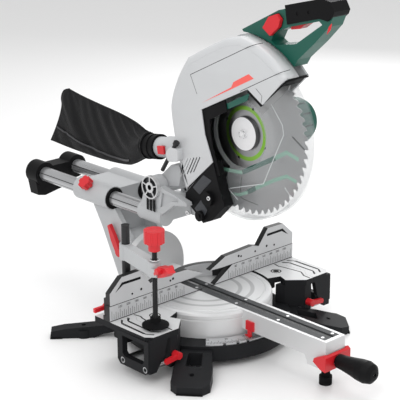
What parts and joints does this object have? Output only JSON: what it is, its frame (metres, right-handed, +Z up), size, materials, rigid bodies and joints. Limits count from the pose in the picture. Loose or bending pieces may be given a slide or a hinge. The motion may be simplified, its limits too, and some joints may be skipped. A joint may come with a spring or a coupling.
{
  "type": "sliding mitre saw",
  "caption": "Sliding compound mitre saw with turntable, tilting head, clear blade guard, split fence, table extensions and workpiece clamp.",
  "frame": {"origin": "turntable axis at bench level, at the centre of the four bench bolt holes", "axes": "+X to the operator's right along the fence, +Y to the back, +Z up along the turntable axis"},
  "size_m": [0.516, 0.9203, 0.701],
  "materials": {
    "charcoal": "textured black coating",
    "rubber": "matt",
    "machined": "machined",
    "tube_steel": "ground",
    "red_plastic": "satin",
    "black_steel": "blackened",
    "cast_silver": "painted cast",
    "insert_plastic": "matt",
    "bright_steel": "plated",
    "black_plastic": "matt",
    "scale_white": "printed",
    "black_pin": "blackened",
    "guard_paint": "satin",
    "green_plastic": "satin",
    "bag_fabric": "woven",
    "clear_guard": "clear",
    "blade_steel": "brushed",
    "flange_steel": "bright"
  },
  "bodies": {
    "base": {"base_casting": "charcoal", "foot_pads": "rubber", "mitre_scale": "machined", "table_left": "charcoal", "table_right": "charcoal", "fence_fixed": "machined"},
    "extension_l": {"extension_left": "charcoal", "extension_tubes_left": "tube_steel"},
    "extension_r": {"extension_right": "charcoal", "extension_tubes_right": "tube_steel"},
    "ext_lock_l": {"extension_lock_left": "red_plastic"},
    "ext_lock_r": {"extension_lock_right": "red_plastic"},
    "fence_l": {"fence_slide_left": "machined"},
    "fence_r": {"fence_slide_right": "machined"},
    "fence_lever_l": {"fence_lock_left": "red_plastic"},
    "fence_lever_r": {"fence_lock_right": "red_plastic"},
    "clamp_column": {"clamp_post": "black_steel"},
    "clamp_slide": {"clamp_arm": "cast_silver"},
    "clamp_lever": {"clamp_quick_lever": "red_plastic"},
    "clamp_spindle": {"clamp_screw": "black_steel", "clamp_knob": "red_plastic"},
    "clamp_foot": {"clamp_pad": "black_steel"},
    "table": {"turntable": "machined", "kerf_inserts": "insert_plastic", "insert_screws": "bright_steel", "mitre_pointer": "red_plastic", "bevel_scale": "scale_white"},
    "twist_grip": {"mitre_grip": "black_plastic"},
    "detent": {"detent_lever": "red_plastic"},
    "foot_screw": {"arm_foot": "rubber"},
    "tilting_arm": {"tilt_arm": "cast_silver", "rail_bushes": "black_plastic", "bevel_bolt": "bright_steel"},
    "tilt_lever": {"bevel_lever": "red_plastic"},
    "rail_lock": {"slide_lock_knob": "red_plastic"},
    "slide_carriage": {"slide_rails": "tube_steel", "rail_end_cap": "black_plastic", "carriage": "cast_silver", "pivot_pin": "cast_silver"},
    "hold_pin": {"transport_pin": "black_pin"},
    "head": {"upper_guard": "guard_paint", "gear_housing": "guard_paint", "motor_housing": "green_plastic", "handle": "green_plastic", "handle_grip": "black_plastic", "inner_cover": "black_plastic", "dust_chute": "cast_silver", "bag_collar": "black_plastic", "dust_bag": "bag_fabric", "depth_stop": "black_pin", "guard_rollers": "black_plastic"},
    "switch": {"trigger": "black_plastic"},
    "release": {"lock_button": "red_plastic"},
    "chute_catch": {"chute_button": "red_plastic"},
    "battery": {"battery_pack": "black_plastic"},
    "clear_cover": {"lower_guard": "clear_guard"},
    "blade": {"saw_blade": "blade_steel", "blade_flange": "flange_steel"}
  },
  "joints": [
    {"name": "mitre", "type": "hinge", "parent": "base", "child": "table", "pos_m": [0, 0, 0.095], "axis": [0, 0, 1], "range_deg": [-47, 47]},
    {"name": "bevel", "type": "hinge", "parent": "table", "child": "tilting_arm", "pos_m": [0, 0, 0.095], "axis": [0, 1, 0], "range_deg": [-33.9, 2]},
    {"name": "carriage_slide", "type": "slide", "parent": "tilting_arm", "child": "slide_carriage", "axis": [0, -1, 0], "range_m": [-0.09, 0.125]},
    {"name": "chop", "type": "hinge", "parent": "slide_carriage", "child": "head", "pos_m": [0, 0.09, 0.295], "axis": [1, 0, 0], "range_deg": [0, 48], "stiffness_Nm_per_rad": 20, "springref_deg": -114.59},
    {"name": "guard_turn", "type": "hinge", "parent": "head", "child": "clear_cover", "pos_m": [0, -0.1065, 0.43], "axis": [1, 0, 0], "range_deg": [-119, 1]},
    {"name": "blade_spin", "type": "hinge", "parent": "head", "child": "blade", "pos_m": [0, -0.1065, 0.43], "axis": [1, 0, 0], "continuous": true},
    {"name": "left_table_pull", "type": "slide", "parent": "base", "child": "extension_l", "axis": [-1, 0, 0], "range_m": [0, 0.13]},
    {"name": "right_table_pull", "type": "slide", "parent": "base", "child": "extension_r", "axis": [1, 0, 0], "range_m": [0, 0.13]},
    {"name": "left_table_lock", "type": "hinge", "parent": "base", "child": "ext_lock_l", "pos_m": [-0.18, -0.11, 0.046], "axis": [0, 1, 0], "range_deg": [0, 60]},
    {"name": "right_table_lock", "type": "hinge", "parent": "base", "child": "ext_lock_r", "pos_m": [0.18, -0.11, 0.046], "axis": [0, -1, 0], "range_deg": [0, 60]},
    {"name": "left_fence_slide", "type": "slide", "parent": "base", "child": "fence_l", "axis": [-1, 0, 0], "range_m": [0, 0.08]},
    {"name": "right_fence_slide", "type": "slide", "parent": "base", "child": "fence_r", "axis": [1, 0, 0], "range_m": [0, 0.08]},
    {"name": "left_fence_lock", "type": "hinge", "parent": "base", "child": "fence_lever_l", "pos_m": [-0.228, 0.028, 0.113], "axis": [0, 1, 0], "range_deg": [0, 60]},
    {"name": "right_fence_lock", "type": "hinge", "parent": "base", "child": "fence_lever_r", "pos_m": [0.228, 0.028, 0.113], "axis": [0, -1, 0], "range_deg": [0, 60]},
    {"name": "clamp_swing", "type": "hinge", "parent": "base", "child": "clamp_column", "pos_m": [-0.18, 0.028, 0.1], "axis": [0, 0, -1], "range_deg": [0, 40]},
    {"name": "clamp_height", "type": "slide", "parent": "clamp_column", "child": "clamp_slide", "axis": [0, 0, 1], "range_m": [0, 0.03]},
    {"name": "clamp_quick", "type": "hinge", "parent": "clamp_slide", "child": "clamp_lever", "pos_m": [-0.20463, -0.09514, 0.209], "axis": [0.9806, -0.1961, 0], "range_deg": [0, 50]},
    {"name": "clamp_feed", "type": "slide", "parent": "clamp_slide", "child": "clamp_foot", "axis": [0, 0, 1], "range_m": [-0.005, 0.03]},
    {"name": "clamp_knob_turn", "type": "hinge", "parent": "clamp_foot", "child": "clamp_spindle", "pos_m": [-0.201, -0.077, 0.2], "axis": [0, 0, 1], "continuous": true},
    {"name": "grip_twist", "type": "hinge", "parent": "table", "child": "twist_grip", "pos_m": [0, -0.38, 0.055], "axis": [0, -1, 0], "range_deg": [0, 90]},
    {"name": "detent_pull", "type": "hinge", "parent": "table", "child": "detent", "pos_m": [0, -0.313, 0.056], "axis": [1, 0, 0], "range_deg": [-6, 0], "stiffness_Nm_per_rad": 1, "springref_deg": 17.19},
    {"name": "foot_turn", "type": "hinge", "parent": "table", "child": "foot_screw", "pos_m": [0, -0.314, 0.02], "axis": [0, 0, 1], "continuous": true},
    {"name": "bevel_lock", "type": "hinge", "parent": "tilting_arm", "child": "tilt_lever", "pos_m": [-0.05, 0.2, 0.129], "axis": [1, 0, 0], "range_deg": [-35, 0]},
    {"name": "rail_lock_turn", "type": "hinge", "parent": "tilting_arm", "child": "rail_lock", "pos_m": [-0.067, 0.286, 0.26], "axis": [-0.7071, 0, 0.7071], "continuous": true},
    {"name": "pin_pull", "type": "slide", "parent": "slide_carriage", "child": "hold_pin", "axis": [1, 0, 0], "range_m": [0, 0.012]},
    {"name": "trigger_pull", "type": "hinge", "parent": "head", "child": "switch", "pos_m": [0.011, -0.211, 0.651], "axis": [1, 0, 0], "range_deg": [-8, 0], "stiffness_Nm_per_rad": 0.5, "springref_deg": 28.65},
    {"name": "release_push", "type": "slide", "parent": "head", "child": "release", "axis": [1, 0, 0], "range_m": [0, 0.004], "stiffness_N_per_m": 200, "springref_m": -0.004},
    {"name": "catch_push", "type": "slide", "parent": "head", "child": "chute_catch", "axis": [1, 0, 0], "range_m": [0, 0.002], "stiffness_N_per_m": 200, "springref_m": -0.002},
    {"name": "battery_slide", "type": "slide", "parent": "head", "child": "battery", "axis": [0, 1, 0], "range_m": [0, 0.07]}
  ],
  "couplings": [
    {"joint": "guard_turn", "follows": "chop", "ratio": -2.45}
  ]
}
